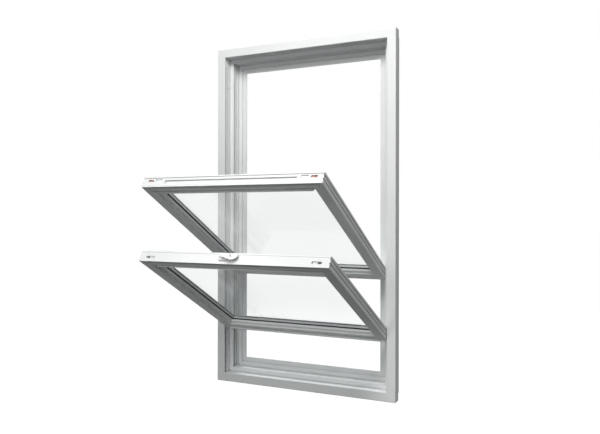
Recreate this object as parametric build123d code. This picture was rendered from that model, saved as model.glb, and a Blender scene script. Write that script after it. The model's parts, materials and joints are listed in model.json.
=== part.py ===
"""White vinyl double-hung sash window with tilt-in sashes, in its frame.

Sizes are in millimetres. X runs to the right as seen from the room, Y runs
outdoors and Z runs up. The origin is the middle of the seat under the sill.
"""

from build123d import *
import os

os.makedirs("parts", exist_ok=True)

# Frame, measured in its section: across from the outer edge, deep from the room side
FRAME_WIDTH = 740.0
FRAME_HEIGHT = 1326.0
LIP_WIDTH = 33.0
PARTING_STEP = 17.0
LEG_WIDTH = 34.0
LEG_THICKNESS = 8.0
LEG_STEP = (16.0, 4.0)
OUTER_SEAT_DEPTH = 36.0
OUTER_REBATE = 14.0
EDGE_CHAMFER = 1.5
PROFILE_WALL = 4.0

# Balance pocket in each jamb, one for each sash
POCKET_WIDTH = 14.0
POCKET_DEPTH = 22.0
POCKET_LIP = 2.0
SLOT_WIDTH = 10.0
LATCH_GROOVE_WIDTH = 12.0
LATCH_GROOVE_DEPTH = 10.0

# Screw holes through the jambs for fastening the frame
FIXING_RADIUS = 2.5
FIXING_END = 150.0
FIXING_DEPTH = 30.0

# Sashes
SASH_THICKNESS = 38.0
SASH_HEIGHT_DIFFERENCE = 49.0
MEETING_OVERLAP = 44.0
FACE_WIDTH = 36.0
BEAD_WIDTH = 7.0
FACE_BEVEL = 4.0
REBATE_STEP = 10.0
GLASS_LEG_WIDTH = 9.0
GLASS_LEG_THICKNESS = 3.0
BEAD_BEVEL = 2.0
BOTTOM_STEP = 9.0
BOTTOM_FLANGE = 17.0
GROOVE_WIDTH = 3.0
GROOVE_DEPTH = 3.0
GROOVE_PLACES = (13.0, 27.0)

# Glass unit
PANE_THICKNESS = 3.0
PANE_SPACE = 8.0
PANE_EDGE_GAP = 3.0
SPACER_WIDTH = 6.0
SPACER_INSET = 1.0
GASKET_THICKNESS = 1.0
GASKET_WIDTH = 6.0
GASKET_SHOW = 0.6

# Clearances
SASH_FRONT_GAP = 1.0
TRACK_GAP = 2.0
SIDE_GAP = 1.5
SILL_GAP = 5.0
HEAD_GAP = 2.0
RUNNING_GAP = 0.3
PIN_GAP = 0.05

# Where the sashes hang in the pictured state
REST_TILT = 61.0
LOWER_LIFT = 176.0
UPPER_DROP = 178.5

# Pivots and balances
PIVOT_RISE = {"lower": 12.0, "upper": 6.0}
PIVOT_BACK = {"lower": 8.0, "upper": 7.0}
PIVOT_BAR = (8.0, 3.0)
PIVOT_BAR_INSIDE = 30.0
CAM_RADIUS = 5.5
CAM_LENGTH = 9.0
SHOE_HEIGHT = 40.0
SHOE_RADIUS = 3.0
TUBE_RADIUS = 6.0
TUBE_BORE = 2.8
TUBE_TOP_SPACE = 62.0
TUBE_SHOE_GAP = 12.0
ROD_RADIUS = 2.3
ROD_ENGAGEMENT = 60.0
SLIDE_REACH = 90.0
BALANCE_SCREW_RADIUS = 2.0
BALANCE_SCREW_HEAD = (3.5, 2.0)
BALANCE_SCREW_BITE = 5.0
BALANCE_SCREW_DROP = 10.0

# Latches on the top edge of each sash, their bolts held back in the pictured state
LATCH_CASE_LENGTH = {"lower": 52.0, "upper": 32.0}
LATCH_CASE_SPAN = {"lower": (2.5, 21.5), "upper": (17.5, 30.5)}
LATCH_CASE_HEIGHT = 14.0
LATCH_INSET = {"lower": 15.0, "upper": 14.0}
LATCH_BACK = {"lower": 8.0, "upper": 24.0}
BUTTON_BACK = {"lower": 15.0, "upper": 24.0}
LATCH_WINDOW = {"lower": (33.0, 8.0), "upper": (22.0, 8.0)}
LATCH_WALL = 2.0
LATCH_TRAVEL = 10.0
BOLT_SECTION = (8.0, 7.0)
BOLT_TUCK = 2.0
BOLT_BEVEL = 5.0
BUTTON_LENGTH = {"lower": 16.0, "upper": 8.0}
BUTTON_HEIGHT = 3.0
BUTTON_RIDGES = 3
BUTTON_RIDGE = 1.2

# Details of the top edge of the upper sash
EDGE_BAND = (5.0, 33.0)
EDGE_BAND_DEPTH = 1.0
EDGE_GROOVE_LENGTH = 467.0
EDGE_GROOVE = (13.0, 25.0)
EDGE_GROOVE_DEPTH = 5.0
VENT_SLOT = (25.0, 10.0, 3.0)
VENT_SLOT_INSET = 60.0

# The lowered strip along the lower sash's top edge
TOP_STEP = 5.0
TOP_STEP_DEPTH = 1.0

# Lift lip of the lower sash, and its bulb seal
LIP_REACH = 6.5
LIP_RISE = 5.0
LIP_THICKNESS = 3.0
LIP_END_INSET = 20.0
SEAL_RADIUS = 2.2
SEAL_BACK = 27.0

# Weatherstrip in the stile grooves
PILE_SHOW = 1.0

# Lock
LOCK_LENGTH = 72.0
LOCK_WIDTH = 22.0
LOCK_BASE_HEIGHT = 5.0
LOCK_HUB_RADIUS = 9.0
LOCK_HUB_HEIGHT = 5.0
LOCK_BACK = 22.0
LOCK_SCREW_SPACING = 52.0
LOCK_SCREW_RADIUS = 2.0
LOCK_SCREW_HEAD = (3.6, 1.6)
LOCK_SCREW_LENGTH = 14.0
SPINDLE_RADIUS = 4.0
LEVER_LENGTH = 36.0
LEVER_HEIGHT = 4.0
LEVER_BEND = 8.0
LEVER_HOOK = 4.0
LEVER_WIDTH = 9.0
CAM_REACH = 20.0
CAM_WIDTH = 10.0
KEEPER = (44.0, 5.0, 9.0)

# Depths and widths that follow from the sizes above
LOWER_DEPTH = SASH_FRONT_GAP
UPPER_DEPTH = LOWER_DEPTH + SASH_THICKNESS + TRACK_GAP
LEG_DEPTH = UPPER_DEPTH + SASH_THICKNESS + TRACK_GAP
FRAME_DEPTH = LEG_DEPTH + LEG_THICKNESS
PARTING_DEPTH = UPPER_DEPTH - TRACK_GAP / 2
SASH_DEPTH = {"lower": LOWER_DEPTH, "upper": UPPER_DEPTH}
UPPER_WALL = LIP_WIDTH + PARTING_STEP
SASH_MARGIN = {"lower": LIP_WIDTH + SIDE_GAP, "upper": UPPER_WALL + SIDE_GAP}
LEG_EDGE = UPPER_WALL + LEG_WIDTH
POCKET_MOUTH = {"lower": LIP_WIDTH, "upper": UPPER_WALL}
ROOM_FACE = -OUTER_SEAT_DEPTH / 2

LOWER_BOTTOM = LIP_WIDTH + SILL_GAP
UPPER_TOP = FRAME_HEIGHT - UPPER_WALL - HEAD_GAP
BOTH_HEIGHTS = UPPER_TOP - LOWER_BOTTOM + MEETING_OVERLAP
SASH_HEIGHT = {
    "lower": (BOTH_HEIGHTS - SASH_HEIGHT_DIFFERENCE) / 2,
    "upper": (BOTH_HEIGHTS + SASH_HEIGHT_DIFFERENCE) / 2,
}
SASH_WIDTH = {name: FRAME_WIDTH - 2 * SASH_MARGIN[name] for name in SASH_MARGIN}
CLOSED_PIVOT = {
    "lower": LOWER_BOTTOM + PIVOT_RISE["lower"],
    "upper": UPPER_TOP - SASH_HEIGHT["upper"] + PIVOT_RISE["upper"],
}
REST_PIVOT = {
    "lower": CLOSED_PIVOT["lower"] + LOWER_LIFT,
    "upper": CLOSED_PIVOT["upper"] - UPPER_DROP,
}
PIVOT_DEPTH = {name: SASH_DEPTH[name] + PIVOT_BACK[name] for name in SASH_DEPTH}
GLASS_START = 2 * REBATE_STEP + GASKET_THICKNESS
GLASS_END = GLASS_START + 2 * PANE_THICKNESS + PANE_SPACE
LEG_START = SASH_THICKNESS - GLASS_LEG_THICKNESS
SIGN = {"left": -1, "right": 1}


def box(x, y, z):
    """A box from three (low, high) pairs."""
    low = Vector(x[0], y[0], z[0])
    size = Vector(x[1] - x[0], y[1] - y[0], z[1] - z[0])
    align = (Align.MIN, Align.MIN, Align.MIN)
    return Pos(*low) * Box(*size, align=align)


def mirrored_span(side, low, high):
    """The X range at a side of the window that lies low to high from the middle."""
    return (low, high) if side == "right" else (-high, -low)


def rod_along_x(radius, x, y, z):
    """A round bar along X between the two values of x."""
    middle = (x[0] + x[1]) / 2
    return Pos(middle, y, z) * Rot(0, 90, 0) * Cylinder(radius, abs(x[1] - x[0]))


def mitred_bar(profile, length, side, width, bottom, height):
    """A bar of a (depth, across) profile on one side of a rectangle, its ends cut at 45 degrees."""
    reach = max(across for _, across in profile[0]) + 1
    face = make_face(Polyline(*profile[0], close=True))
    for hole in profile[1:]:
        face -= make_face(Polyline(*hole, close=True))
    bar = extrude(Plane.YZ * face, length / 2, both=True)
    half = length / 2
    outline = [(-half, 0), (half, 0), (half - reach, reach), (reach - half, reach)]
    deepest = max(abs(depth) for depth, _ in profile[0]) + 1
    bar &= extrude(Plane.XZ * make_face(Polyline(*outline, close=True)), deepest, both=True)
    middle = bottom + height / 2
    place = {
        "bottom": Pos(0, 0, bottom),
        "top": Pos(0, 0, bottom + height) * Rot(0, 180, 0),
        "left": Pos(-width / 2, 0, middle) * Rot(0, 90, 0),
        "right": Pos(width / 2, 0, middle) * Rot(0, -90, 0),
    }[side]
    return place * bar


def rectangle_outline(depth, across):
    """Corner points of a rectangle in a bar's section."""
    return [(depth[0], across[0]), (depth[1], across[0]), (depth[1], across[1]), (depth[0], across[1])]


def shifted(points, depth):
    """The same points, moved back by a depth."""
    return [(y + depth, across) for y, across in points]


def frame_outline():
    """The stepped outer shape of the frame's section."""
    leg_step = UPPER_WALL + LEG_STEP[0]
    leg_face = LEG_DEPTH + LEG_STEP[1]
    return [
        (0, EDGE_CHAMFER),
        (EDGE_CHAMFER, 0),
        (OUTER_SEAT_DEPTH, 0),
        (OUTER_SEAT_DEPTH, OUTER_REBATE),
        (FRAME_DEPTH, OUTER_REBATE),
        (FRAME_DEPTH, LEG_EDGE),
        (leg_face + EDGE_CHAMFER, LEG_EDGE),
        (leg_face, LEG_EDGE - EDGE_CHAMFER),
        (leg_face, leg_step),
        (LEG_DEPTH, leg_step),
        (LEG_DEPTH, UPPER_WALL),
        (PARTING_DEPTH, UPPER_WALL),
        (PARTING_DEPTH, LIP_WIDTH),
        (EDGE_CHAMFER, LIP_WIDTH),
        (0, LIP_WIDTH - EDGE_CHAMFER),
    ]


def chamber(depth, across):
    """A closed chamber of the extrusion, a wall's thickness inside the given limits."""
    return rectangle_outline(
        (depth[0] + PROFILE_WALL, depth[1] - PROFILE_WALL),
        (across[0] + PROFILE_WALL, across[1] - PROFILE_WALL),
    )


def pocket(name, half):
    """The channel that a balance runs in, with the slot towards the sash, along one jamb."""
    centre = PIVOT_DEPTH[name]
    mouth = POCKET_MOUTH[name]
    floor = mouth - POCKET_LIP - POCKET_DEPTH
    run = (-1.0, FRAME_HEIGHT + 1.0)
    channel = box(
        (half - mouth + POCKET_LIP, half - floor),
        (centre - POCKET_WIDTH / 2, centre + POCKET_WIDTH / 2),
        run,
    )
    slot = box(
        (half - mouth - 1, half - mouth + POCKET_LIP),
        (centre - SLOT_WIDTH / 2, centre + SLOT_WIDTH / 2),
        run,
    )
    return channel + slot


def pocket_middle(name):
    """Distance of a pocket's middle from the frame's outer edge."""
    return POCKET_MOUTH[name] - POCKET_LIP - POCKET_DEPTH / 2


def balance_screw_height():
    """Height of the screws that hold the balance tubes."""
    return FRAME_HEIGHT - TUBE_TOP_SPACE - BALANCE_SCREW_DROP


def frame_member(side):
    """Head or sill: the frame's section with two closed chambers."""
    front = chamber((0, OUTER_SEAT_DEPTH), (0, LIP_WIDTH))
    back = chamber((PARTING_DEPTH, LEG_DEPTH), (OUTER_REBATE, UPPER_WALL))
    profile = [frame_outline(), front, back]
    return mitred_bar(profile, FRAME_WIDTH, side, FRAME_WIDTH, 0, FRAME_HEIGHT)


def frame_jamb(side):
    """A jamb: the frame's section with two balance pockets, a latch groove and its screw holes."""
    half = FRAME_WIDTH / 2
    bar = mitred_bar([frame_outline()], FRAME_HEIGHT, "right", FRAME_WIDTH, 0, FRAME_HEIGHT)
    for name in SASH_DEPTH:
        bar -= pocket(name, half)
        floor = half - pocket_middle(name) + POCKET_DEPTH / 2
        bite = (floor - 1, floor + BALANCE_SCREW_BITE)
        bar -= rod_along_x(
            BALANCE_SCREW_RADIUS + PIN_GAP, bite, PIVOT_DEPTH[name], balance_screw_height()
        )
    groove_middle = UPPER_DEPTH + LATCH_BACK["upper"]
    bar -= box(
        (half - UPPER_WALL - 1, half - UPPER_WALL + LATCH_GROOVE_DEPTH),
        (groove_middle - LATCH_GROOVE_WIDTH / 2, groove_middle + LATCH_GROOVE_WIDTH / 2),
        (-1, FRAME_HEIGHT + 1),
    )
    for height in (FIXING_END, FRAME_HEIGHT - FIXING_END):
        bar -= rod_along_x(
            FIXING_RADIUS, (half - LIP_WIDTH - 1, half + 1), FIXING_DEPTH, height
        )
    return bar if side == "right" else mirror(bar, Plane.YZ)


def sash_outline():
    """Section of a stile or rail: face, rebate for glass and bead, and the leg behind the glass."""
    leg_edge = FACE_WIDTH + GLASS_LEG_WIDTH
    return [
        (0, 0),
        (SASH_THICKNESS, 0),
        (SASH_THICKNESS, leg_edge),
        (LEG_START, leg_edge),
        (LEG_START, FACE_WIDTH),
        (FACE_BEVEL / 2, FACE_WIDTH),
        (0, FACE_WIDTH - FACE_BEVEL),
    ]


def sash_bar(name, side, outline):
    """A mitred bar of the given section on one side of a sash, in the sash's own frame."""
    width, height = SASH_WIDTH[name], SASH_HEIGHT[name]
    length = width if side in ("top", "bottom") else height
    profile = [shifted(outline, -PIVOT_BACK[name])]
    return mitred_bar(profile, length, side, width, -PIVOT_RISE[name], height)


def ring(name, depth, across):
    """A rectangular ring inside a sash, between two distances from its edge."""
    half, bottom, height = SASH_WIDTH[name] / 2, -PIVOT_RISE[name], SASH_HEIGHT[name]
    back = PIVOT_BACK[name]

    def block(inset):
        return box(
            (inset - half, half - inset),
            (depth[0] - back, depth[1] - back),
            (bottom + inset, bottom + height - inset),
        )

    return block(across[0]) - block(across[1])


def sash_block(name, x, depth, rise):
    """A box in a sash: x from its middle, depth from its room face, rise from its lower edge."""
    back, bottom = PIVOT_BACK[name], PIVOT_RISE[name]
    return box(x, (depth[0] - back, depth[1] - back), (rise[0] - bottom, rise[1] - bottom))


def latch_case_place(name):
    """Distances from the middle, depths and heights of the right latch case's block."""
    half, height = SASH_WIDTH[name] / 2, SASH_HEIGHT[name]
    outer = half - LATCH_INSET[name]
    top = height - (EDGE_BAND_DEPTH if name == "upper" else 0)
    low = top - LATCH_CASE_HEIGHT
    return (outer - LATCH_CASE_LENGTH[name], outer), LATCH_CASE_SPAN[name], (low, top)


def bolt_place(name):
    """Distances, depths and heights of the right latch bolt's bar."""
    x, depth, rise = latch_case_place(name)
    wide, tall = BOLT_SECTION
    middle = LATCH_BACK[name]
    low = rise[0] + LATCH_WALL
    run = (x[0] + LATCH_WALL + RUNNING_GAP, SASH_WIDTH[name] / 2 - BOLT_TUCK)
    return run, (middle - wide / 2, middle + wide / 2), (low, low + tall)


def grown(span, gap):
    """A range made wider by a gap at both ends."""
    return (span[0] - gap, span[1] + gap)


def button_place(name):
    """Distances and depths of the right thumb button, with the bolt held back."""
    case_x, _, _ = latch_case_place(name)
    middle = (case_x[0] + case_x[1] - LATCH_TRAVEL) / 2
    half_length = BUTTON_LENGTH[name] / 2
    half_width = LATCH_WINDOW[name][1] / 2 - 2 * RUNNING_GAP
    back = BUTTON_BACK[name]
    return (middle - half_length, middle + half_length), (back - half_width, back + half_width)


def bolt_channel(name):
    """The channel that the right bolt slides in, through case, rail and stile."""
    x, depth, rise = bolt_place(name)
    run = (x[0] - RUNNING_GAP, x[1] + LATCH_TRAVEL)
    tall = grown(rise, RUNNING_GAP)
    channel = sash_block(name, run, grown(depth, RUNNING_GAP), tall)
    button_x, button_depth = button_place(name)
    arm = grown((button_x[0], button_x[1] + LATCH_TRAVEL), RUNNING_GAP)
    return channel + sash_block(name, arm, grown((depth[0], button_depth[1]), RUNNING_GAP), tall)


def latch_window(name):
    """The opening over the right thumb button."""
    x, _, rise = latch_case_place(name)
    length, width = LATCH_WINDOW[name]
    middle = (x[0] + x[1]) / 2
    back = BUTTON_BACK[name]
    low = bolt_place(name)[2][1]
    outline = Pos(middle, back - PIVOT_BACK[name]) * SlotOverall(length, width)
    return Pos(0, 0, low - PIVOT_RISE[name]) * extrude(outline, rise[1] - low + 1)


def latch_case(name):
    """The plastic case of a tilt latch, let into the top edge of the sash."""
    case = sash_block(name, *latch_case_place(name))
    return case - bolt_channel(name) - latch_window(name)


def latch_bolt(name):
    """A latch bolt with its bevelled nose and ridged thumb button."""
    x, depth, rise = bolt_place(name)
    button_x, button_depth = button_place(name)
    bar = sash_block(name, x, depth, rise)
    y = (depth[0] - PIVOT_BACK[name], depth[1] - PIVOT_BACK[name])
    nose = [(x[1] + 1, y[0] - 1), (x[1] - BOLT_BEVEL, y[0] - 1), (x[1] + 1, y[0] + BOLT_BEVEL + 1)]
    wedge = extrude(make_face(Polyline(*nose, close=True)), 2 * SASH_HEIGHT[name], both=True)
    bar -= wedge
    top = rise[1] + BUTTON_HEIGHT
    bar += sash_block(name, button_x, (depth[0], button_depth[1]), rise)
    bar += sash_block(name, button_x, button_depth, (rise[1], top))
    pitch = BUTTON_LENGTH[name] / BUTTON_RIDGES
    for count in range(BUTTON_RIDGES):
        start = button_x[0] + (count + 0.5) * pitch - BUTTON_RIDGE / 2
        ridge = (start, start + BUTTON_RIDGE)
        bar += sash_block(name, ridge, button_depth, (top, top + BUTTON_RIDGE))
    return bar


def pivot_reach(name):
    """X range of the right pivot bar, from inside the sash to its cam in the shoe."""
    half = SASH_WIDTH[name] / 2
    cam_end = FRAME_WIDTH / 2 - POCKET_MOUTH[name] + POCKET_LIP + RUNNING_GAP
    return (half - PIVOT_BAR_INSIDE, cam_end), (cam_end, cam_end + CAM_LENGTH)


def pivot(name):
    """A pivot bar with the round cam that turns in the balance shoe."""
    bar_x, cam_x = pivot_reach(name)
    tall, thick = PIVOT_BAR
    bar = box(bar_x, (-thick / 2, thick / 2), (-tall / 2, tall / 2))
    return bar + rod_along_x(CAM_RADIUS, cam_x, 0, 0)


def pivot_mortise(name):
    """The space for the right pivot bar in the bottom rail and stile."""
    half = SASH_WIDTH[name] / 2
    tall, thick = PIVOT_BAR
    return box(
        (half - PIVOT_BAR_INSIDE, half + 1), (-thick / 2, thick / 2), (-tall / 2, tall / 2)
    )


def sash_cuts(name):
    """Everything cut from the bars of a sash on its right half."""
    half, height = SASH_WIDTH[name] / 2, SASH_HEIGHT[name]
    whole = (-1, height + 1)
    cuts = pivot_mortise(name)
    for place in GROOVE_PLACES:
        cuts += sash_block(
            name, (half - GROOVE_DEPTH, half + 1), (place, place + GROOVE_WIDTH), whole
        )
    cuts += sash_block(name, *latch_case_place(name))
    return cuts + bolt_channel(name)


def lower_edge_cuts(name):
    """The step under the lower sash that sits over the sill, and the lowered strip on top."""
    half, height = SASH_WIDTH[name] / 2 + 1, SASH_HEIGHT[name]
    back = SASH_THICKNESS + 1
    cuts = sash_block(name, (-half, half), (BOTTOM_FLANGE, back), (-1, BOTTOM_STEP))
    strip = (height - TOP_STEP_DEPTH, height + 1)
    return cuts + sash_block(name, (-half, half), (SASH_THICKNESS - TOP_STEP, back), strip)


def upper_edge_cuts(name):
    """The recessed band, long groove and vent slots in the upper sash's top edge."""
    half, height = SASH_WIDTH[name] / 2, SASH_HEIGHT[name]
    floor = height - EDGE_BAND_DEPTH
    cuts = sash_block(name, (-half - 1, half + 1), EDGE_BAND, (floor, height + 1))
    reach = EDGE_GROOVE_LENGTH / 2
    cuts += sash_block(name, (-reach, reach), EDGE_GROOVE, (floor - EDGE_GROOVE_DEPTH, height))
    length, width, deep = VENT_SLOT
    start = half - VENT_SLOT_INSET
    back = LATCH_BACK[name]
    slot = sash_block(
        name, (start - length / 2, start + length / 2), (back - width / 2, back + width / 2),
        (floor - deep, height),
    )
    return cuts + slot + mirror(slot, Plane.YZ)


def sash_bars(name):
    """The four mitred bars of a sash."""
    cuts = sash_cuts(name)
    cuts += mirror(cuts, Plane.YZ)
    if name == "lower":
        cuts += lower_edge_cuts(name)
    else:
        cuts += upper_edge_cuts(name)
    bars = {}
    for side in ("top", "bottom", "left", "right"):
        kind = f"{side}_rail" if side in ("top", "bottom") else f"stile_{side}"
        bars[kind] = sash_bar(name, side, sash_outline()) - cuts
    if name == "lower":
        reach = SASH_WIDTH[name] / 2 - LIP_END_INSET
        bars["bottom_rail"] += sash_block(
            name, (-reach, reach), (-LIP_REACH, 0), (LIP_RISE, LIP_RISE + LIP_THICKNESS)
        )
    return bars


def bead_outline():
    """Section of a glazing bead, with a sloped nose towards the glass."""
    edge = FACE_WIDTH + BEAD_WIDTH
    return [
        (REBATE_STEP, FACE_WIDTH),
        (REBATE_STEP, edge - BEAD_BEVEL),
        (REBATE_STEP + BEAD_BEVEL, edge),
        (2 * REBATE_STEP, edge),
        (2 * REBATE_STEP, FACE_WIDTH),
    ]


def glass_parts(name):
    """Panes, spacer, gasket and beads of a sash."""
    pane_edge = FACE_WIDTH + PANE_EDGE_GAP
    half, height = SASH_WIDTH[name] / 2, SASH_HEIGHT[name]
    wide = (pane_edge - half, half - pane_edge)
    tall = (pane_edge, height - pane_edge)
    inner = (GLASS_START, GLASS_START + PANE_THICKNESS)
    outer = (GLASS_END - PANE_THICKNESS, GLASS_END)
    spacer_edge = pane_edge + SPACER_INSET
    bead_edge = FACE_WIDTH + BEAD_WIDTH
    parts = {
        "pane_inner": sash_block(name, wide, inner, tall),
        "pane_outer": sash_block(name, wide, outer, tall),
        "glass_spacer": ring(name, (inner[1], outer[0]), (spacer_edge, spacer_edge + SPACER_WIDTH)),
        "glazing_gasket": ring(
            name,
            (2 * REBATE_STEP, GLASS_START),
            (bead_edge - GASKET_WIDTH, bead_edge + GASKET_SHOW),
        ),
    }
    for side in ("top", "bottom", "left", "right"):
        parts[f"bead_{side}"] = sash_bar(name, side, bead_outline())
    return parts


def weatherstrips(name):
    """Pile strips in the rear grooves of both stiles, one solid for each."""
    height = SASH_HEIGHT[name]
    side = SASH_WIDTH[name] / 2
    place = GROOVE_PLACES[-1]
    ends = (FACE_WIDTH, height - FACE_WIDTH)
    strip = sash_block(
        name, (side - GROOVE_DEPTH, side + PILE_SHOW), (place, place + GROOVE_WIDTH), ends
    )
    return Compound([strip, mirror(strip, Plane.YZ)])


def bottom_seal(name):
    """The bulb seal under the lower sash's bottom rail."""
    half = SASH_WIDTH[name] / 2 - LIP_END_INSET
    z = BOTTOM_STEP - SEAL_RADIUS - PIVOT_RISE[name]
    return rod_along_x(SEAL_RADIUS, (-half, half), SEAL_BACK - PIVOT_BACK[name], z)


def lock_frame(name):
    """Where the lock's centre stands on the lower sash's top edge."""
    return Pos(0, LOCK_BACK - PIVOT_BACK[name], SASH_HEIGHT[name] - PIVOT_RISE[name])


def lock_base(name):
    """The lock's rounded base with its hub, bored for the spindle and its screws."""
    base = extrude(SlotOverall(LOCK_LENGTH, LOCK_WIDTH), LOCK_BASE_HEIGHT)
    base += Pos(0, 0, LOCK_BASE_HEIGHT) * extrude(Circle(LOCK_HUB_RADIUS), LOCK_HUB_HEIGHT)
    base -= extrude(Circle(SPINDLE_RADIUS + PIN_GAP), LOCK_BASE_HEIGHT + LOCK_HUB_HEIGHT)
    for side in SIGN.values():
        hole = extrude(Circle(LOCK_SCREW_RADIUS), LOCK_BASE_HEIGHT)
        base -= Pos(side * LOCK_SCREW_SPACING / 2, 0, 0) * hole
    return lock_frame(name) * base


def lock_screws(name):
    """Two screws through the lock's base into the rail."""
    head_radius, head_height = LOCK_SCREW_HEAD
    shank = Pos(0, 0, LOCK_BASE_HEIGHT - LOCK_SCREW_LENGTH) * extrude(
        Circle(LOCK_SCREW_RADIUS), LOCK_SCREW_LENGTH
    )
    head = Pos(0, 0, LOCK_BASE_HEIGHT) * extrude(Circle(head_radius), head_height)
    screw = shank + head
    places = [Pos(side * LOCK_SCREW_SPACING / 2, 0, 0) for side in SIGN.values()]
    return Compound([lock_frame(name) * place * screw for place in places])


def lock_screw_holes(name):
    """Pilot holes for the lock's screws in the rail."""
    depth = LOCK_SCREW_LENGTH - LOCK_BASE_HEIGHT
    hole = Pos(0, 0, -depth) * extrude(Circle(LOCK_SCREW_RADIUS), depth)
    places = [Pos(side * LOCK_SCREW_SPACING / 2, 0, 0) for side in SIGN.values()]
    return [lock_frame(name) * place * hole for place in places]


def lock_lever(name):
    """The lever with its spindle, curved like a finger pull."""
    top = LOCK_BASE_HEIGHT + LOCK_HUB_HEIGHT + RUNNING_GAP
    lever = extrude(Circle(SPINDLE_RADIUS), top)
    path = ThreePointArc((0, 0), (LEVER_LENGTH / 2, -LEVER_BEND), (LEVER_LENGTH, LEVER_HOOK))
    plate = extrude(trace(path, LEVER_WIDTH), LEVER_HEIGHT)
    plate += extrude(Circle(LOCK_HUB_RADIUS), LEVER_HEIGHT)
    cam = Pos(-CAM_REACH / 2, 0) * Rectangle(CAM_REACH, CAM_WIDTH)
    plate += extrude(cam, LEVER_HEIGHT)
    return lock_frame(name) * (lever + Pos(0, 0, top) * plate)


def lock_keeper(name):
    """The keeper on the ledge of the upper sash's bottom rail."""
    length, thick, tall = KEEPER
    reach = length / 2
    depth = (SASH_FRONT_GAP, SASH_FRONT_GAP + thick)
    return sash_block(name, (-reach, reach), depth, (FACE_WIDTH, FACE_WIDTH + tall))


def sash_place(name):
    """Where a sash hangs in the pictured state, leaning in about its pivots."""
    return Pos(0, ROOM_FACE + PIVOT_DEPTH[name], REST_PIVOT[name]) * Rot(REST_TILT, 0, 0)


def sash_parts(name):
    """Every piece that tilts with a sash, in the sash's own frame."""
    parts = sash_bars(name)
    parts.update(glass_parts(name))
    parts["weatherstrips"] = weatherstrips(name)
    for kind, make in (("pivot", pivot), ("latch_case", latch_case), ("latch_bolt", latch_bolt)):
        right = make(name)
        parts[f"{kind}_right"] = right
        parts[f"{kind}_left"] = mirror(right, Plane.YZ)
    return parts


def balance_parts(name):
    """Tube, rod, shoe and screw of the right-hand balance of a sash, at the frame's room face."""
    x = FRAME_WIDTH / 2 - pocket_middle(name)
    y = PIVOT_DEPTH[name]
    shoe_wide = POCKET_DEPTH - 2 * RUNNING_GAP
    shoe_deep = POCKET_WIDTH - 2 * RUNNING_GAP
    middle = REST_PIVOT[name]
    shoe = fillet(Box(shoe_wide, shoe_deep, SHOE_HEIGHT).edges().filter_by(Axis.Y), SHOE_RADIUS)
    hole = rod_along_x(CAM_RADIUS + PIN_GAP, (-shoe_wide, shoe_wide), 0, 0)
    shoe = Pos(x, y, middle) * (shoe - hole)
    tube_low = CLOSED_PIVOT["upper"] + SHOE_HEIGHT / 2 + TUBE_SHOE_GAP
    tube_top = FRAME_HEIGHT - TUBE_TOP_SPACE
    tube = Pos(x, y, tube_low) * extrude(
        Circle(TUBE_RADIUS) - Circle(TUBE_BORE), tube_top - tube_low
    )
    screw_z = balance_screw_height()
    head_radius, head_height = BALANCE_SCREW_HEAD
    floor = x + POCKET_DEPTH / 2
    screw = rod_along_x(
        BALANCE_SCREW_RADIUS, (x - TUBE_RADIUS, floor + BALANCE_SCREW_BITE), y, screw_z
    )
    head = (x - TUBE_RADIUS - head_height, x - TUBE_RADIUS)
    screw += rod_along_x(head_radius, head, y, screw_z)
    through = (x - 2 * TUBE_RADIUS, x + 2 * TUBE_RADIUS)
    tube -= rod_along_x(BALANCE_SCREW_RADIUS + PIN_GAP, through, y, screw_z)
    lowest = {
        "lower": CLOSED_PIVOT["lower"],
        "upper": REST_PIVOT["upper"] - SLIDE_REACH,
    }[name]
    rod_length = tube_low + ROD_ENGAGEMENT - lowest - SHOE_HEIGHT / 2
    rod = Pos(x, y, middle + SHOE_HEIGHT / 2) * extrude(Circle(ROD_RADIUS), rod_length)
    return {"tube": tube, "rod": rod, "shoe": shoe, "screw": screw}


def all_parts():
    """Every node's name and shape, in the pictured state."""
    nodes = {}
    at_face = Pos(0, ROOM_FACE, 0)
    nodes["frame_head"] = at_face * frame_member("top")
    nodes["frame_sill"] = at_face * frame_member("bottom")
    for side in SIGN:
        nodes[f"frame_jamb_{side}"] = at_face * frame_jamb(side)
    screws = []
    for name in SASH_DEPTH:
        parts = balance_parts(name)
        for side in SIGN:
            for kind, shape in parts.items():
                placed = at_face * (shape if side == "right" else mirror(shape, Plane.YZ))
                if kind == "screw":
                    screws.append(placed)
                else:
                    nodes[f"balance_{kind}_{name}_{side}"] = placed
    nodes["balance_screws"] = Compound(screws)
    for name in SASH_DEPTH:
        parts = sash_parts(name)
        if name == "lower":
            for hole in lock_screw_holes(name):
                parts["top_rail"] -= hole
            extra = {
                "lower_bottom_seal": bottom_seal(name),
                "lock_base": lock_base(name),
                "lock_screws": lock_screws(name),
                "lock_lever": lock_lever(name),
            }
        else:
            extra = {"lock_keeper": lock_keeper(name)}
        place = sash_place(name)
        for kind, shape in parts.items():
            nodes[f"{name}_{kind}"] = place * shape
        for node, shape in extra.items():
            nodes[node] = place * shape
    return nodes


for node, shape in all_parts().items():
    solids = shape.solids()
    whole = solids[0] if len(solids) == 1 else Compound(list(solids))
    export_step(whole, f"parts/{node}.step")
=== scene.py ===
"""Materials, light and camera for the sash window. Lengths are in metres, in the row frame."""

import json
import math

import bpy
from mathutils import Matrix, Vector


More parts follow.
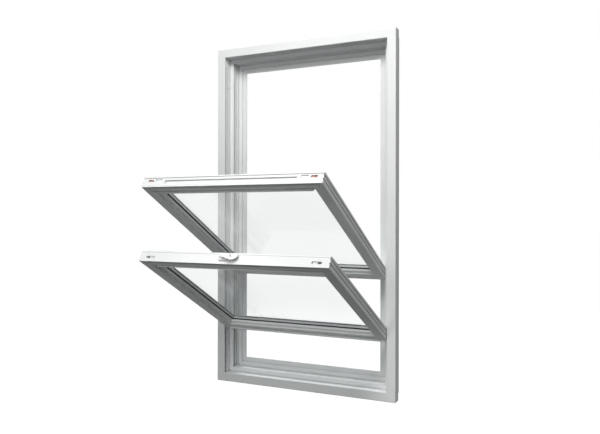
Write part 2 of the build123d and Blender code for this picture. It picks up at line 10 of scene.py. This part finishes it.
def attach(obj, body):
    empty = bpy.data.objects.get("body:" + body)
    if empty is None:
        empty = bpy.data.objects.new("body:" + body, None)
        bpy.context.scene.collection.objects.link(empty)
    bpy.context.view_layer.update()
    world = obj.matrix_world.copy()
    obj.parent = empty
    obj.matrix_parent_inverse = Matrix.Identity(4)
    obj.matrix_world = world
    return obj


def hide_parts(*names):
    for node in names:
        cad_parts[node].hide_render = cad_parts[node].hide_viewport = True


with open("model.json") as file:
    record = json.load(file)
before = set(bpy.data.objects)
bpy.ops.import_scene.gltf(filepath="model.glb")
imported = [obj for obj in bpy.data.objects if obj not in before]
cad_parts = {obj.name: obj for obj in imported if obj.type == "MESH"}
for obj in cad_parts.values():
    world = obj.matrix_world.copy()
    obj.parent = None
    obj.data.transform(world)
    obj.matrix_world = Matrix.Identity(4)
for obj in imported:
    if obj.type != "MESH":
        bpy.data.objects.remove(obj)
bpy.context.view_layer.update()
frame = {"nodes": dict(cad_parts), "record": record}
nodes = frame["nodes"]

IMAGE_WIDTH = 600

# Camera, fitted to the photograph's edges
CAMERA_PLACE = (1.02122, -2.17285, 0.65130)
CAMERA_FOCAL_PIXELS = 631.4
CAMERA_YAW = 25.425
CAMERA_PITCH = -0.105
CAMERA_ROLL = 0.11
SENSOR_WIDTH = 36.0
CLIP_START = 0.05

# Rounding of the edges of vinyl and hardware
EDGE_ROUND = 0.0007
EDGE_SEGMENTS = 2
EDGE_ANGLE = 35
SHARP = {"glass", "gasket", "spacer", "seal", "pile", "balance_rod", "balance_tube"}

# Painted shade: darkening of the base colour in narrow steps and slots, by how open the surface is to
# its surroundings
CREVICE_REACH = 0.008
CREVICE_SAMPLES = 8
CREVICE_STOPS = [(0.08, (0.10, 0.105, 0.105)), (0.35, (0.62, 0.63, 0.63)), (0.60, (1.0, 1.0, 1.0))]
FRAME_STOPS = [(0.10, (0.14, 0.145, 0.145)), (0.46, (0.66, 0.67, 0.67)), (0.72, (1.0, 1.0, 1.0))]
HARDWARE_STOPS = [(0.15, (0.10, 0.105, 0.105)), (0.50, (0.55, 0.56, 0.56)), (0.85, (1.0, 1.0, 1.0))]
BEAD_STOPS = [(0.05, (0.1, 0.1, 0.1)), (0.25, (0.75, 0.75, 0.75)), (0.42, (1.0, 1.0, 1.0))]
HEAD_BEAD_STOPS = [(0.0, (0.8, 0.8, 0.8)), (0.2, (1.0, 1.0, 1.0))]

# Where the two tones of a surface start and end in its broad noise
TONE_EDGES = (0.35, 0.65)
FINE_NOISE = 40
RELIEF_DEPTH = 0.001

# Clear glass, what is left of light that crosses it, and its share of gloss from left to right
GLASS_TINT = (0.975, 0.977, 0.977, 1.0)
GLASS_GLOSS = (0.95, 0.96, 0.96, 1.0)
GLASS_ROUGHNESS = 0.03
GLASS_SHADE = (0.72, 0.73, 0.73, 1.0)
GLASS_HALF_WIDTH = 0.30
GLASS_STREAKS = [
    (0.0, 0.012), (0.233, 0.012), (0.237, 0.065), (0.265, 0.055), (0.27, 0.02), (0.335, 0.02),
    (0.34, 0.045), (0.355, 0.045), (0.36, 0.015), (0.40, 0.015), (0.405, 0.03), (0.43, 0.03),
    (0.435, 0.012),
]

# Each surface: its two tones, its range of roughness and the scale of its noise, then what differs
VINYL = {"low": (0.80, 0.815, 0.815), "high": (0.84, 0.85, 0.85), "rough": (0.40, 0.50), "gloss": 0.06}
LOCK = {
    "low": (0.80, 0.80, 0.79), "high": (0.85, 0.85, 0.84), "rough": (0.2, 0.3), "gloss": 0.3,
    "crevice": HARDWARE_STOPS,
}
SURFACES = {
    "frame_vinyl": {**VINYL, "scale": 3.0, "crevice": FRAME_STOPS},
    "sash_vinyl": {**VINYL, "scale": 3.5},
    "lower_rail_vinyl": {**VINYL, "scale": 3.5},
    "upper_rail_vinyl": {**VINYL, "scale": 3.5},
    # Painted light: the beads are lighter copies of the vinyl, to brighten narrow ledges that little
    # light reaches; the head bead has almost no crevice shade.
    "bead_vinyl": {
        "low": (0.85, 0.86, 0.86), "high": (0.89, 0.90, 0.90), "rough": (0.38, 0.48), "scale": 5.0,
        "gloss": 0.1, "crevice": BEAD_STOPS,
    },
    "head_bead": {
        "low": (0.87, 0.88, 0.88), "high": (0.90, 0.91, 0.91), "rough": (0.38, 0.48), "scale": 5.0,
        "gloss": 0.1, "crevice": HEAD_BEAD_STOPS,
    },
    "spacer": {
        "low": (0.74, 0.76, 0.76), "high": (0.80, 0.82, 0.82), "rough": (0.35, 0.5), "scale": 20.0,
    },
    "gasket": {
        "low": (0.012, 0.012, 0.013), "high": (0.03, 0.03, 0.032), "rough": (0.55, 0.7), "scale": 30.0,
    },
    "seal": {
        "low": (0.10, 0.10, 0.11), "high": (0.16, 0.16, 0.17), "rough": (0.6, 0.75), "scale": 30.0,
    },
    "pile": {
        "low": (0.22, 0.23, 0.24), "high": (0.42, 0.43, 0.44), "rough": (0.8, 0.95), "scale": 60.0,
        "bump": 0.6, "sheen": 0.4,
    },
    "lock_body": {**LOCK, "scale": 20.0},
    "lock_lever": {**LOCK, "scale": 22.0},
    "latch_case": {
        "low": (0.79, 0.80, 0.80), "high": (0.83, 0.84, 0.84), "rough": (0.3, 0.4), "scale": 25.0,
    },
    "latch_bolt": {
        "low": (0.72, 0.73, 0.73), "high": (0.78, 0.79, 0.79), "rough": (0.35, 0.45), "scale": 25.0,
    },
    "latch_red": {
        "low": (0.62, 0.36, 0.28), "high": (0.70, 0.44, 0.36), "rough": (0.35, 0.45), "scale": 25.0,
    },
    "pivot_steel": {
        "low": (0.42, 0.42, 0.43), "high": (0.58, 0.58, 0.59), "rough": (0.25, 0.4), "scale": 25.0,
        "metal": 1.0,
    },
    "balance_tube": {
        "low": (0.62, 0.62, 0.63), "high": (0.72, 0.72, 0.73), "rough": (0.3, 0.45), "scale": 12.0,
        "metal": 0.7, "stretch": (1, 1, 0.1),
    },
    "balance_rod": {
        "low": (0.45, 0.45, 0.46), "high": (0.60, 0.60, 0.61), "rough": (0.25, 0.4), "scale": 12.0,
        "metal": 1.0, "stretch": (1, 1, 0.1),
    },
    "balance_shoe": {
        "low": (0.50, 0.50, 0.49), "high": (0.58, 0.58, 0.57), "rough": (0.45, 0.6), "scale": 20.0,
    },
    "screw_steel": {
        "low": (0.48, 0.48, 0.49), "high": (0.62, 0.62, 0.63), "rough": (0.2, 0.35), "scale": 60.0,
        "metal": 1.0,
    },
}

# Where each sash hangs at rest: its pivot, and its size about the pivot
SASHES = {
    "lower": {"pivot": (-0.009, 0.226), "back": 0.008, "rise": 0.012, "width": 0.671, "height": 0.6155},
    "upper": {"pivot": (0.030, 0.437), "back": 0.007, "rise": 0.006, "width": 0.637, "height": 0.6645},
}
REST_TILT = math.radians(61)
SASH_UP = Vector((0.0, -math.sin(REST_TILT), math.cos(REST_TILT)))
SASH_BACK = Vector((0.0, math.cos(REST_TILT), math.sin(REST_TILT)))

# The cove along the room face of a top rail: from and to across the rail, depth, and the painted shade
# down the face, dark at the top edge and in a band near the bead
COVE = (0.004, 0.033)
COVE_DEPTH = 0.0045
COVE_SHADE = [
    (0.0, 0.62), (0.004, 0.70), (0.018, 1.0), (0.023, 1.0), (0.026, 0.62), (0.030, 0.58), (0.032, 1.0),
]
ROOM_FACE_DEPTH = 0.0004

# Painted shade lines on the top edge of a sash, darkening the edges of its narrow recesses: distance
# from the room face, half width, strength
EDGE_SHADE_LINES = {
    "lower": [(0.0325, 0.0007, 0.45)],
    "upper": [(0.005, 0.0007, 0.25), (0.0335, 0.0009, 0.45)],
}
EDGE_LINE_SPAN = 0.040
EDGE_LINE_BLUR = 0.01

# Section of the glazing bead under a top rail, as depth and distance from the top edge: a ledge
# that rises to the room side
HEAD_BEAD = [
    (0.006, 0.0365), (0.0070, 0.0385), (0.0055, 0.0400), (0.0012, 0.0450), (0.0030, 0.0480),
    (0.0195, 0.0485), (0.0195, 0.0365),
]

# Soft studio light: a sky that is bright on the side the light comes from
SKY_SIDE = Vector((0.15, -0.62, 0.77)).normalized()
SKY_STOPS = [
    (0.0, (0.012, 0.013, 0.013)), (0.45, (0.068, 0.071, 0.071)), (0.75, (0.27, 0.28, 0.28)),
    (1.0, (0.68, 0.68, 0.68)),
]

# Lamps: kind, place, target, size, power, colour, and the angle of a spot
LAMPS = {
    "key": ("AREA", (0.6, -1.6, 2.4), (0, 0, 0.75), 0.9, 40.0, (1.0, 0.992, 0.985), None),
    "fill": ("SPOT", (-0.2, -2.4, 0.8), (0, 0, 0.08), 0.25, 48.0, (0.99, 1.0, 1.0), 34),
    "lift": ("SPOT", (0.3, -2.6, 0.5), (0, 0, 1.25), 0.25, 36.0, (0.99, 1.0, 1.0), 27),
    "rim": ("AREA", (-0.4, 1.5, 1.6), (0, 0.05, 0.25), 0.9, 36.0, (0.97, 1.0, 1.0), None),
}
SPOT_BLEND = 0.9

FLOOR_SIZE = 60
FLOOR_DROP = 0.001
FLOOR_TONES = [(0.3, (0.05, 0.05, 0.05)), (0.7, (0.065, 0.065, 0.065))]
FLOOR_GLOW = 0.985


def add_node(tree, kind, **sockets):
    """A shader node with constant values on its sockets."""
    node = tree.nodes.new(kind)
    for key, value in sockets.items():
        node.inputs[key.replace("_", " ")].default_value = value
    return node


def link(tree, source, output, target, entry):
    tree.links.new(source.outputs[output], target.inputs[entry])


def math_node(tree, operation, *sources, value=None):
    """A math node fed by (node, output) pairs and then by a constant."""
    node = tree.nodes.new("ShaderNodeMath")
    node.operation = operation
    for entry, (source, output) in enumerate(sources):
        link(tree, source, output, node, entry)
    if value is not None:
        node.inputs[len(sources)].default_value = value
    return node


def multiplied(tree, first, second, share=None):
    """The socket of two colour sockets multiplied, fully or by a share."""
    node = tree.nodes.new("ShaderNodeMix")
    node.data_type = "RGBA"
    node.blend_type = "MULTIPLY"
    node.inputs[0].default_value = 1.0
    if share is not None:
        tree.links.new(share, node.inputs[0])
    tree.links.new(first, node.inputs[6])
    tree.links.new(second, node.inputs[7])
    return node.outputs[2]


def mixed(tree, share, first, second):
    """The socket of two shader sockets mixed by a share."""
    node = tree.nodes.new("ShaderNodeMixShader")
    for entry, socket in enumerate((share, first, second)):
        tree.links.new(socket, node.inputs[entry])
    return node.outputs["Shader"]


def ramp(tree, stops):
    """A colour ramp through (position, colour) stops."""
    node = tree.nodes.new("ShaderNodeValToRGB")
    elements = node.color_ramp.elements
    while len(elements) > 1:
        elements.remove(elements[-1])
    elements[0].position, elements[0].color = stops[0][0], (*stops[0][1], 1.0)
    for position, colour in stops[1:]:
        elements.new(position).color = (*colour, 1.0)
    return node


def grey(level):
    return (level, level, level)


def blank_material(name):
    """A node material with only its output, and its tree."""
    material = bpy.data.materials.new(name)
    material.use_nodes = True
    tree = material.node_tree
    tree.nodes.clear()
    output = tree.nodes.new("ShaderNodeOutputMaterial")
    return material, tree, output


def shaded_crevices(tree, tint, stops):
    """The colour, with painted shade: darkened where other surfaces stand close to it."""
    reach = add_node(tree, "ShaderNodeAmbientOcclusion", Distance=CREVICE_REACH)
    reach.samples = CREVICE_SAMPLES
    depth = ramp(tree, stops)
    link(tree, reach, "AO", depth, "Fac")
    return multiplied(tree, tint.outputs["Color"], depth.outputs["Color"])


def solid_material(
    name, low, high, rough, scale, bump=0.02, metal=0.0, stretch=(1, 1, 1), sheen=0.0, gloss=0.5,
    crevice=CREVICE_STOPS,
):
    """A surface whose colour and roughness wander a little between two values."""
    material, tree, output = blank_material(name)
    shader = add_node(
        tree, "ShaderNodeBsdfPrincipled", Metallic=metal, Specular_IOR_Level=gloss, Sheen_Weight=sheen
    )
    place = tree.nodes.new("ShaderNodeTexCoord")
    mapping = add_node(tree, "ShaderNodeMapping", Scale=stretch)
    link(tree, place, "Object", mapping, "Vector")
    broad = add_node(tree, "ShaderNodeTexNoise", Scale=scale, Detail=4.0, Roughness=0.6)
    fine = add_node(tree, "ShaderNodeTexNoise", Scale=scale * FINE_NOISE, Detail=3.0)
    for noise in (broad, fine):
        link(tree, mapping, "Vector", noise, "Vector")
    tint = ramp(tree, list(zip(TONE_EDGES, (low, high))))
    link(tree, broad, "Fac", tint, "Fac")
    # Painted shade: the base colour is darkened in crevices by ambient occlusion.
    tree.links.new(shaded_crevices(tree, tint, crevice), shader.inputs["Base Color"])
    spread = add_node(tree, "ShaderNodeMapRange", To_Min=rough[0], To_Max=rough[1])
    link(tree, fine, "Fac", spread, "Value")
    link(tree, spread, "Result", shader, "Roughness")
    relief = add_node(tree, "ShaderNodeBump", Strength=bump, Distance=RELIEF_DEPTH)
    link(tree, fine, "Fac", relief, "Height")
    link(tree, relief, "Normal", shader, "Normal")
    link(tree, shader, "BSDF", output, "Surface")
    return material


def glass_material(name):
    """Clear thin glass with a faint tint, whose gloss has a few streaks along the left stile."""
    material, tree, output = blank_material(name)
    place = tree.nodes.new("ShaderNodeTexCoord")
    parts = tree.nodes.new("ShaderNodeSeparateXYZ")
    link(tree, place, "Object", parts, "Vector")
    across = add_node(
        tree, "ShaderNodeMapRange", From_Min=-GLASS_HALF_WIDTH, From_Max=GLASS_HALF_WIDTH
    )
    link(tree, parts, "X", across, "Value")
    amount = ramp(tree, [(at, grey(level)) for at, level in GLASS_STREAKS])
    link(tree, across, "Result", amount, "Fac")
    clear = add_node(tree, "ShaderNodeBsdfTransparent", Color=GLASS_TINT)
    gloss = add_node(tree, "ShaderNodeBsdfGlossy", Color=GLASS_GLOSS, Roughness=GLASS_ROUGHNESS)
    shade = add_node(tree, "ShaderNodeBsdfTransparent", Color=GLASS_SHADE)
    path = tree.nodes.new("ShaderNodeLightPath")
    pane = mixed(tree, amount.outputs["Color"], clear.outputs["BSDF"], gloss.outputs["BSDF"])
    whole = mixed(tree, path.outputs["Is Shadow Ray"], pane, shade.outputs["BSDF"])
    tree.links.new(whole, output.inputs["Surface"])
    return material


def sash_point(sash, x, depth, across):
    """A point of a sash at rest: depth from its room face, across down from its top edge."""
    y, z = sash["pivot"]
    up = sash["height"] - sash["rise"] - across
    return Vector((x, y, z)) + SASH_BACK * (depth - sash["back"]) + SASH_UP * up


def distance_along(tree, piece, axis, start):
    """The distance of a surface point from a start point along an axis, in metres."""
    turn = piece.matrix_world.to_3x3()
    place = tree.nodes.new("ShaderNodeTexCoord")
    dot = tree.nodes.new("ShaderNodeVectorMath")
    dot.operation = "DOT_PRODUCT"
    dot.inputs[1].default_value = turn.transposed() @ axis
    link(tree, place, "Object", dot, 0)
    offset = axis.dot(piece.matrix_world.translation - start)
    return math_node(tree, "ADD", (dot, "Value"), value=offset)


def ramp_along(tree, distance, stops):
    """A colour ramp over a distance, from 0 to the span of the edge lines."""
    share = add_node(tree, "ShaderNodeMapRange", From_Min=0.0, From_Max=EDGE_LINE_SPAN)
    link(tree, distance, 0, share, "Value")
    tones = ramp(tree, stops)
    link(tree, share, "Result", tones, "Fac")
    return tones.outputs["Color"]


def shape_top_rail(material, piece, name):
    """Adds the cove of the room face with its painted shade, and the painted shade lines of the top
    edge, to a rail's material.
    """
    tree = material.node_tree
    corner = sash_point(SASHES[name], 0, 0, 0)
    shader = next(n for n in tree.nodes if n.type == "BSDF_PRINCIPLED")
    relief = next(n for n in tree.nodes if n.type == "BUMP")
    down = distance_along(tree, piece, -SASH_UP, corner)
    back = distance_along(tree, piece, SASH_BACK, corner)
    span = add_node(
        tree, "ShaderNodeMapRange", From_Min=COVE[0], From_Max=COVE[1], To_Min=-1.0, To_Max=1.0
    )
    link(tree, down, 0, span, "Value")
    square = math_node(tree, "MULTIPLY", (span, "Result"), (span, "Result"))
    cove = add_node(tree, "ShaderNodeBump", Strength=1.0, Distance=COVE_DEPTH)
    link(tree, square, 0, cove, "Height")
    link(tree, cove, "Normal", relief, "Normal")
    stops = [(0.0, grey(1.0))]
    for middle, half, depth in EDGE_SHADE_LINES[name]:
        low, high = (middle - half) / EDGE_LINE_SPAN, (middle + half) / EDGE_LINE_SPAN
        stops += [(low - EDGE_LINE_BLUR, grey(1.0)), (low, grey(1 - depth))]
        stops += [(high, grey(1 - depth)), (high + EDGE_LINE_BLUR, grey(1.0))]
    # Painted shade: dark lines on the top edge, and dark bands down the room face of the cove,
    # multiplied into the base colour.
    lines = ramp_along(tree, back, stops)
    shade = ramp_along(tree, down, [(at / EDGE_LINE_SPAN, grey(level)) for at, level in COVE_SHADE])
    front = math_node(tree, "LESS_THAN", (back, 0), value=ROOM_FACE_DEPTH)
    colour = shader.inputs["Base Color"]
    lined = multiplied(tree, colour.links[0].from_socket, lines)
    tree.links.new(multiplied(tree, lined, shade, front.outputs[0]), colour)


def bar_between_mitres(name, sash, section):
    """A bar along the top of a sash with mitred ends, as a mesh."""
    half = sash["width"] / 2
    points = []
    for side in (-1, 1):
        points += [sash_point(sash, side * (half - across), depth, across) for depth, across in section]
    count = len(section)
    faces = [list(range(count)), list(range(2 * count - 1, count - 1, -1))]
    for i in range(count):
        j = (i + 1) % count
        faces.append([j, i, i + count, j + count])
    mesh = bpy.data.meshes.new(name)
    mesh.from_pydata(points, [], faces)
    mesh.validate()
    piece = bpy.data.objects.new(name, mesh)
    bpy.context.collection.objects.link(piece)
    return piece


def dress(piece, material):
    piece.data.materials.clear()
    piece.data.materials.append(material)


def make_camera():
    """The camera at the photograph's place, angle and focal length."""
    yaw, pitch, roll = (math.radians(a) for a in (CAMERA_YAW, CAMERA_PITCH, CAMERA_ROLL))
    right = Vector((math.cos(yaw), math.sin(yaw), 0.0))
    back = Vector(
        (math.sin(yaw) * math.cos(pitch), -math.cos(yaw) * math.cos(pitch), math.sin(pitch))
    )
    up = back.cross(right)
    turn = Matrix.Rotation(roll, 3, back)
    right, up = turn @ right, turn @ up
    data = bpy.data.cameras.new("camera")
    data.sensor_fit = "HORIZONTAL"
    data.sensor_width = SENSOR_WIDTH
    data.lens = CAMERA_FOCAL_PIXELS / IMAGE_WIDTH * data.sensor_width
    data.clip_start = CLIP_START
    camera = bpy.data.objects.new("camera", data)
    bpy.context.collection.objects.link(camera)
    turn = Matrix((right, up, back)).transposed().to_4x4()
    camera.matrix_world = Matrix.Translation(CAMERA_PLACE) @ turn
    bpy.context.scene.camera = camera


def seen_by_eye(tree):
    """1 for camera, glossy and transmission rays and 0 for the rays that light the object."""
    path = tree.nodes.new("ShaderNodeLightPath")
    first = math_node(tree, "MAXIMUM", (path, "Is Camera Ray"), (path, "Is Glossy Ray"))
    return math_node(tree, "MAXIMUM", (first, 0), (path, "Is Transmission Ray")).outputs[0]


def make_world():
    """White to the eye, and a soft gradient for the light that falls on the object."""
    world = bpy.data.worlds.new("studio")
    bpy.context.scene.world = world
    world.use_nodes = True
    tree = world.node_tree
    tree.nodes.clear()
    output = tree.nodes.new("ShaderNodeOutputWorld")
    place = tree.nodes.new("ShaderNodeTexCoord")
    towards = tree.nodes.new("ShaderNodeVectorMath")
    towards.operation = "DOT_PRODUCT"
    towards.inputs[1].default_value = SKY_SIDE
    link(tree, place, "Generated", towards, 0)
    spread = add_node(tree, "ShaderNodeMapRange", From_Min=-1.0, From_Max=1.0)
    link(tree, towards, "Value", spread, "Value")
    sky = ramp(tree, SKY_STOPS)
    link(tree, spread, "Result", sky, "Fac")
    light = add_node(tree, "ShaderNodeBackground", Strength=1.0)
    link(tree, sky, "Color", light, "Color")
    white = add_node(tree, "ShaderNodeBackground", Strength=1.0, Color=(1, 1, 1, 1))
    whole = mixed(tree, seen_by_eye(tree), light.outputs["Background"], white.outputs["Background"])
    tree.links.new(whole, output.inputs["Surface"])


def make_lamp(name, kind, place, target, size, power, colour, angle):
    """A lamp that shines at a target and isn't seen itself."""
    data = bpy.data.lights.new(name, kind)
    data.energy = power
    data.color = colour
    if kind == "AREA":
        data.shape = "DISK"
        data.size = size
    else:
        data.shadow_soft_size = size
        data.spot_size = math.radians(angle)
        data.spot_blend = SPOT_BLEND
    lamp = bpy.data.objects.new(name, data)
    bpy.context.collection.objects.link(lamp)
    lamp.location = place
    lamp.rotation_euler = (Vector(target) - Vector(place)).to_track_quat("-Z", "Y").to_euler()
    lamp.visible_camera = False
    lamp.visible_glossy = False


def make_floor():
    """A pale floor that looks white and keeps a faint shadow."""
    bpy.ops.mesh.primitive_plane_add(size=FLOOR_SIZE, location=(0, 0, -FLOOR_DROP))
    floor = bpy.context.object
    floor.name = "floor"
    material, tree, output = blank_material("floor")
    dull = tree.nodes.new("ShaderNodeBsdfDiffuse")
    grain = add_node(tree, "ShaderNodeTexNoise", Scale=2.0, Detail=2.0)
    tone = ramp(tree, FLOOR_TONES)
    link(tree, grain, "Fac", tone, "Fac")
    link(tree, tone, "Color", dull, "Color")
    glow = add_node(tree, "ShaderNodeEmission", Strength=FLOOR_GLOW)
    both = tree.nodes.new("ShaderNodeAddShader")
    link(tree, dull, "BSDF", both, 0)
    link(tree, glow, "Emission", both, 1)
    whole = mixed(tree, seen_by_eye(tree), dull.outputs["BSDF"], both.outputs["Shader"])
    tree.links.new(whole, output.inputs["Surface"])
    dress(floor, material)


materials = {name: solid_material(name, **look) for name, look in SURFACES.items()}
materials["glass"] = glass_material("glass")

slots = {entry["node"]: entry["material_slot"] for entry in frame["record"]["subparts"]}
for name, piece in nodes.items():
    slot = slots[name]
    dress(piece, materials["latch_red" if name.startswith("upper_latch_bolt") else slot])
    if slot not in SHARP:
        bevel = piece.modifiers.new("rounded_edges", "BEVEL")
        bevel.width = EDGE_ROUND
        bevel.segments = EDGE_SEGMENTS
        bevel.limit_method = "ANGLE"
        bevel.angle_limit = math.radians(EDGE_ANGLE)

for name, sash in SASHES.items():
    rail = nodes[f"{name}_top_rail"]
    coved = materials[f"{name}_rail_vinyl"]
    shape_top_rail(coved, rail, name)
    dress(rail, coved)
    bead = bar_between_mitres(f"{name}_head_bead", sash, HEAD_BEAD)
    bead.data.materials.append(materials["head_bead"])
    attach(bead, f"{name}_sash")
    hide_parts(f"{name}_bead_top")

make_camera()
make_world()
make_floor()
for name, lamp in LAMPS.items():
    make_lamp(name, *lamp)
bpy.context.scene.view_settings.view_transform = "Standard"
